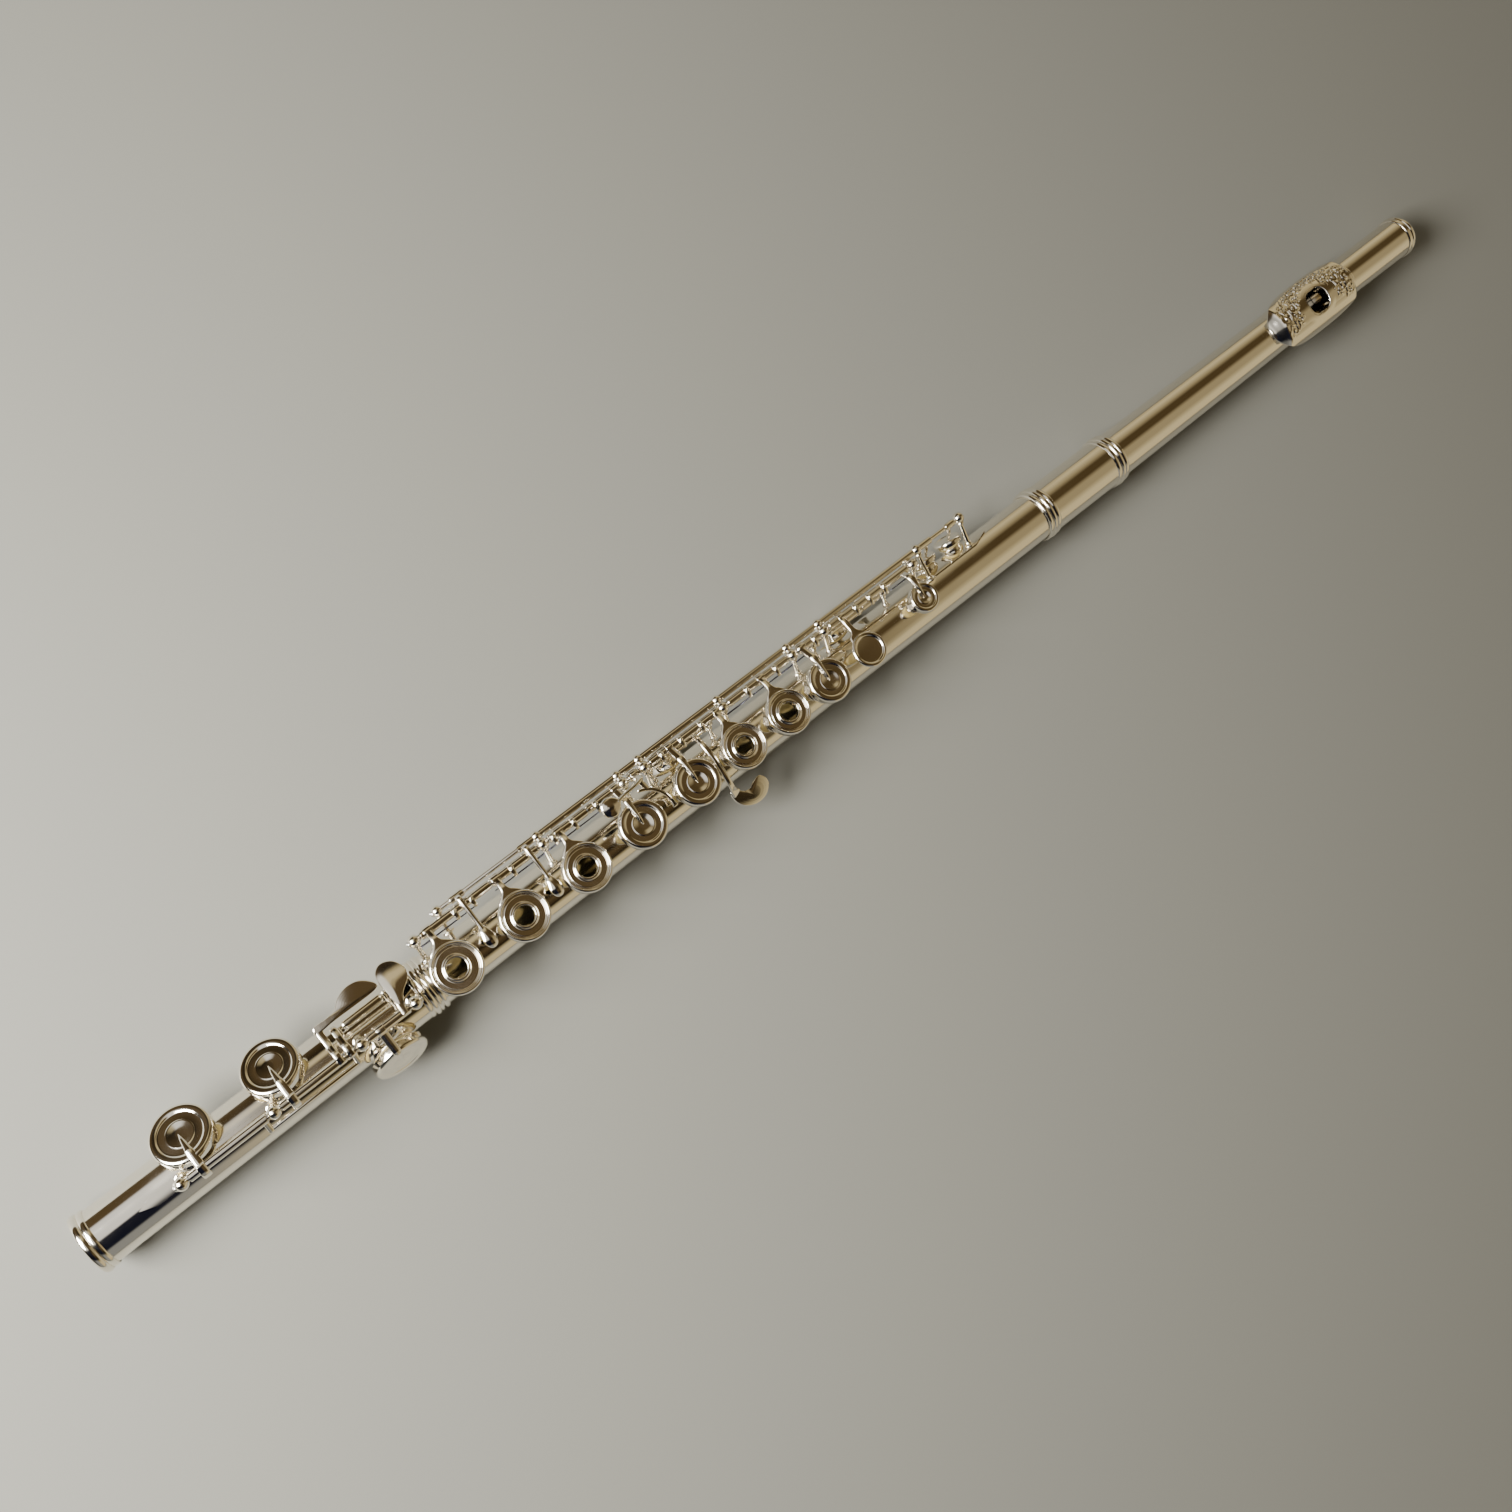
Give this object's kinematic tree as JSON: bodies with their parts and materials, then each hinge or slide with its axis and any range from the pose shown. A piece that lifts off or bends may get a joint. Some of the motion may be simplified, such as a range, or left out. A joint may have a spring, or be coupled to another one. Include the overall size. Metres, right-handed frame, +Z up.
{
  "type": "concert flute",
  "caption": "Open-hole concert flute with a C foot, working keys, levers and trills, turning foot joint, sliding head joint and tuning cork.",
  "frame": {"origin": "centre of the bore at the open end of the foot joint", "axes": "+X along the tube towards the crown, +Y towards the rods and the player, +Z up, out of the finger holes"},
  "size_m": [0.676, 0.0424, 0.0326],
  "materials": {
    "silver": "polished silver plate",
    "rod_steel": "ground steel",
    "spring_steel": "blued steel",
    "pad_felt": "felt pad in thin yellow skin",
    "cork": "cork"
  },
  "bodies": {
    "body": {"body_tube": "silver", "barrel": "silver", "tenon_ring": "silver", "main_rib": "silver", "main_posts": "silver", "trill_posts": "silver", "main_steel": "rod_steel", "pivot_screws": "rod_steel", "side_posts": "silver", "side_steels": "rod_steel", "needle_springs": "spring_steel"},
    "head": {"head_tube": "silver", "lip_plate": "silver", "lip_riser": "silver"},
    "crown": {"crown": "silver"},
    "stopper": {"stopper_cork": "cork", "stopper_rod": "silver", "stopper_plate": "silver"},
    "d": {"d_key": "silver", "d_pad": "pad_felt"},
    "e": {"e_key": "silver", "e_pad": "pad_felt"},
    "f": {"f_key": "silver", "f_pad": "pad_felt"},
    "f_sharp": {"f_sharp_key": "silver", "f_sharp_pad": "pad_felt"},
    "g": {"g_keys": "silver", "g_pads": "pad_felt"},
    "a": {"a_key": "silver", "a_pad": "pad_felt"},
    "b_flat": {"b_flat_key": "silver", "b_flat_pad": "pad_felt"},
    "c": {"c_key": "silver", "c_pads": "pad_felt"},
    "g_sharp": {"g_sharp_key": "silver", "g_sharp_pad": "pad_felt"},
    "thumb_b": {"thumb_b_key": "silver", "thumb_b_pad": "pad_felt"},
    "thumb_b_flat": {"thumb_b_flat_lever": "silver"},
    "side_b_flat": {"side_b_flat_lever": "silver"},
    "d_trill": {"d_trill_key": "silver", "d_trill_pads": "pad_felt"},
    "d_sharp_trill": {"d_sharp_trill_key": "silver", "d_sharp_trill_pads": "pad_felt"},
    "foot": {"foot_tube": "silver", "foot_end_ring": "silver", "foot_socket": "silver", "foot_rib": "silver", "foot_posts": "silver", "foot_steel": "rod_steel", "foot_screws": "rod_steel", "foot_springs": "spring_steel"},
    "low_c": {"low_c_key": "silver", "low_c_pad": "pad_felt"},
    "c_roller": {"c_roller": "silver"},
    "low_c_sharp": {"low_c_sharp_key": "silver", "low_c_sharp_pad": "pad_felt"},
    "foot_d_sharp": {"foot_d_sharp_key": "silver", "foot_d_sharp_pad": "pad_felt"}
  },
  "joints": [
    {"name": "head_pull", "type": "slide", "parent": "body", "child": "head", "axis": [1, 0, 0], "range_m": [0, 0.012]},
    {"name": "crown_turn", "type": "hinge", "parent": "head", "child": "crown", "pos_m": [0.669, 0, 0], "axis": [1, 0, 0], "range_deg": [-360, 360]},
    {"name": "stopper_slide", "type": "slide", "parent": "head", "child": "stopper", "axis": [1, 0, 0], "range_m": [-0.0008, 0.0008]},
    {"name": "d_press", "type": "hinge", "parent": "body", "child": "d", "pos_m": [0.1408, 0.0159, 0.0122], "axis": [1, 0, 0], "range_deg": [0, 8.5], "stiffness_Nm_per_rad": 0.012, "springref_deg": -28.65},
    {"name": "e_press", "type": "hinge", "parent": "body", "child": "e", "pos_m": [0.1692, 0.0159, 0.0122], "axis": [1, 0, 0], "range_deg": [0, 8.5], "stiffness_Nm_per_rad": 0.012, "springref_deg": -28.65},
    {"name": "f_press", "type": "hinge", "parent": "body", "child": "f", "pos_m": [0.1963, 0.0159, 0.0122], "axis": [1, 0, 0], "range_deg": [0, 8.5], "stiffness_Nm_per_rad": 0.012, "springref_deg": -28.65},
    {"name": "f_sharp_press", "type": "hinge", "parent": "body", "child": "f_sharp", "pos_m": [0.2214, 0.0159, 0.0122], "axis": [1, 0, 0], "range_deg": [0, 8.5], "stiffness_Nm_per_rad": 0.012, "springref_deg": -28.65},
    {"name": "g_press", "type": "hinge", "parent": "body", "child": "g", "pos_m": [0.2576, 0.0159, 0.0122], "axis": [1, 0, 0], "range_deg": [0, 8.5], "stiffness_Nm_per_rad": 0.012, "springref_deg": -28.65},
    {"name": "a_press", "type": "hinge", "parent": "body", "child": "a", "pos_m": [0.2902, 0.0159, 0.0122], "axis": [1, 0, 0], "range_deg": [0, 8.5], "stiffness_Nm_per_rad": 0.012, "springref_deg": -28.65},
    {"name": "b_flat_press", "type": "hinge", "parent": "body", "child": "b_flat", "pos_m": [0.3106, 0.0159, 0.0122], "axis": [1, 0, 0], "range_deg": [0, 8.5], "stiffness_Nm_per_rad": 0.012, "springref_deg": -28.65},
    {"name": "c_press", "type": "hinge", "parent": "body", "child": "c", "pos_m": [0.345, 0.0159, 0.0122], "axis": [1, 0, 0], "range_deg": [0, 8.5], "stiffness_Nm_per_rad": 0.012, "springref_deg": -28.65},
    {"name": "side_b_flat_press", "type": "hinge", "parent": "body", "child": "side_b_flat", "pos_m": [0.23, 0.0159, 0.0122], "axis": [1, 0, 0], "range_deg": [0, 5], "stiffness_Nm_per_rad": 0.012, "springref_deg": -28.65},
    {"name": "g_sharp_press", "type": "hinge", "parent": "body", "child": "g_sharp", "pos_m": [0.2505, 0.0139, 0.0087], "axis": [1, 0, 0], "range_deg": [0, 7], "stiffness_Nm_per_rad": 0.012, "springref_deg": -28.65},
    {"name": "thumb_b_press", "type": "hinge", "parent": "body", "child": "thumb_b", "pos_m": [0.333, 0.0139, 0.0087], "axis": [-1, 0, 0], "range_deg": [0, 7], "stiffness_Nm_per_rad": 0.012, "springref_deg": -28.65},
    {"name": "thumb_b_flat_press", "type": "hinge", "parent": "body", "child": "thumb_b_flat", "pos_m": [0.346, 0.0139, 0.0087], "axis": [-1, 0, 0], "range_deg": [0, 6.5], "stiffness_Nm_per_rad": 0.012, "springref_deg": -28.65},
    {"name": "d_trill_press", "type": "hinge", "parent": "body", "child": "d_trill", "pos_m": [0.2813, 0.0193, 0.011], "axis": [1, 0, 0], "range_deg": [0, 6], "stiffness_Nm_per_rad": 0.012, "springref_deg": -28.65},
    {"name": "d_sharp_trill_press", "type": "hinge", "parent": "body", "child": "d_sharp_trill", "pos_m": [0.272, 0.0193, 0.011], "axis": [1, 0, 0], "range_deg": [0, 6], "stiffness_Nm_per_rad": 0.012, "springref_deg": -28.65},
    {"name": "foot_turn", "type": "hinge", "parent": "body", "child": "foot", "pos_m": [0.12, 0, 0], "axis": [1, 0, 0], "range_deg": [-25, 25]},
    {"name": "low_c_press", "type": "hinge", "parent": "foot", "child": "low_c", "pos_m": [0.0513, 0, 0.0185], "axis": [-1, 0, 0], "range_deg": [0, 8], "stiffness_Nm_per_rad": 0.012, "springref_deg": -28.65},
    {"name": "low_c_sharp_press", "type": "hinge", "parent": "foot", "child": "low_c_sharp", "pos_m": [0.0832, 0, 0.0185], "axis": [-1, 0, 0], "range_deg": [0, 8], "stiffness_Nm_per_rad": 0.012, "springref_deg": -28.65},
    {"name": "foot_d_sharp_press", "type": "hinge", "parent": "foot", "child": "foot_d_sharp", "pos_m": [0.1127, 0, 0.0185], "axis": [-1, 0, 0], "range_deg": [0, 7], "stiffness_Nm_per_rad": 0.012, "springref_deg": -28.65},
    {"name": "roller_spin", "type": "hinge", "parent": "low_c", "child": "c_roller", "pos_m": [0.1083, 0.00815, 0.0151], "axis": [1, 0, 0], "continuous": true}
  ],
  "couplings": [
    {"joint": "stopper_slide", "follows": "crown_turn", "m_per_rad": 0.00012732},
    {"joint": "f_sharp_press", "follows": "f_press", "ratio": 1},
    {"joint": "b_flat_press", "follows": "a_press", "ratio": 1}
  ]
}
